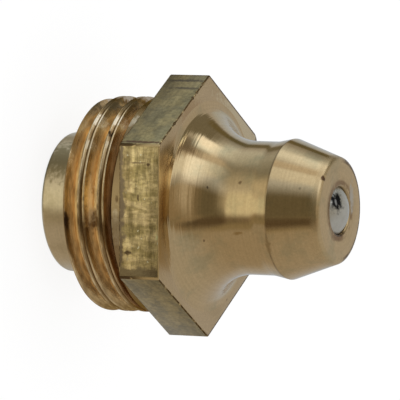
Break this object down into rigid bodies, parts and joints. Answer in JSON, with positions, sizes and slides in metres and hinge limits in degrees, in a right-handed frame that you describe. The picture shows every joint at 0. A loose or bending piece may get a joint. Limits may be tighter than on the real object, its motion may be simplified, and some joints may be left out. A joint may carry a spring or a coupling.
{
  "type": "grease nipple",
  "caption": "Straight threaded grease nipple with a hexagon, a conical grease head and a sprung check ball.",
  "frame": {"origin": "centre of the hexagon's seating face, on the thread's axis", "axes": "+Z along the axis from the thread to the grease head; +X to a corner of the hexagon; -Y square to one of its flats"},
  "size_m": [0.0122, 0.0104, 0.014],
  "materials": {
    "brass_body": "turned and milled bare brass, tarnished, with scratched flats",
    "ball_steel": "polished bearing steel",
    "spring_steel": "drawn spring wire",
    "brass_ring": "stamped bare brass"
  },
  "bodies": {
    "fitting": {"nipple_body": "brass_body", "valve_spring": "spring_steel", "spring_retainer": "brass_ring"},
    "ball": {"check_ball": "ball_steel"}
  },
  "joints": [
    {"name": "ball_valve", "type": "slide", "parent": "fitting", "child": "ball", "axis": [0, 0, -1], "range_m": [0, 0.001], "stiffness_N_per_m": 650, "springref_m": -0.001, "deforming": ["valve_spring"]}
  ]
}
